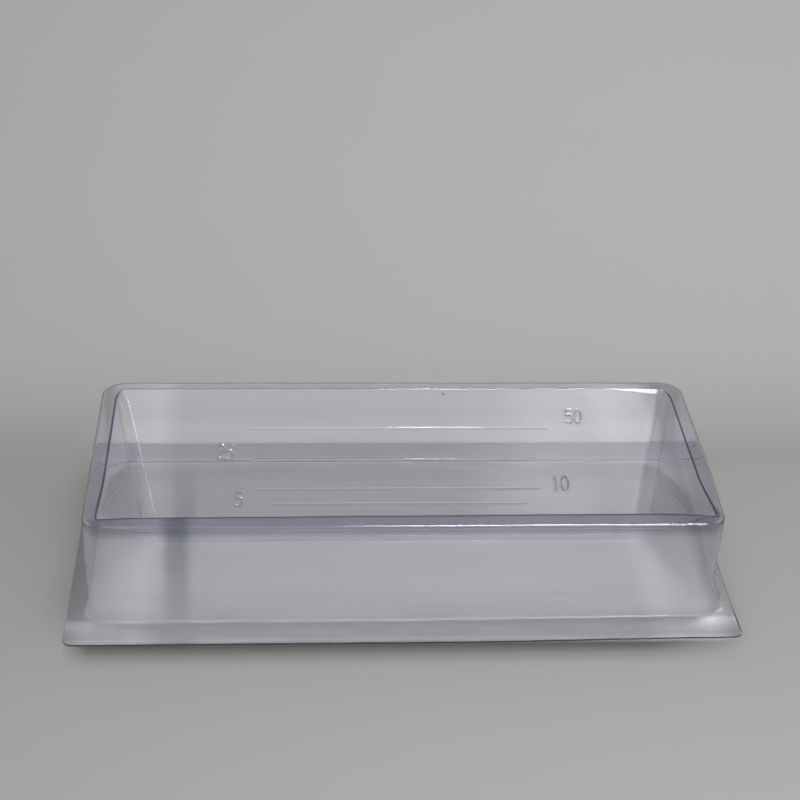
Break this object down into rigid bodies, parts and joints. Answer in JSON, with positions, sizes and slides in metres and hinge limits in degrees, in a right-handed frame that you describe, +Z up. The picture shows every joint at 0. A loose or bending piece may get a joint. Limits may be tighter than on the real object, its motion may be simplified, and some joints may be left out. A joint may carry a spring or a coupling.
{
  "type": "reagent reservoir",
  "caption": "Long clear V-bottomed trough with a raised rim and a flat base flange, formed from thin plastic sheet to hold liquid for multichannel pipettes.",
  "frame": {"origin": "middle of the base flange's outline, on the surface that the reservoir stands on", "axes": "+X along the trough to the right as seen from the front, +Y from the front to the back wall that carries the graduations, +Z up"},
  "size_m": [0.152, 0.0822, 0.0258],
  "materials": {
    "clear_pvc": "clear vacuum-formed PVC sheet, glossy, with a faint blue tint that deepens where the sheet is seen edge-on"
  },
  "bodies": {
    "root": {"reservoir": "clear_pvc"}
  },
  "joints": []
}
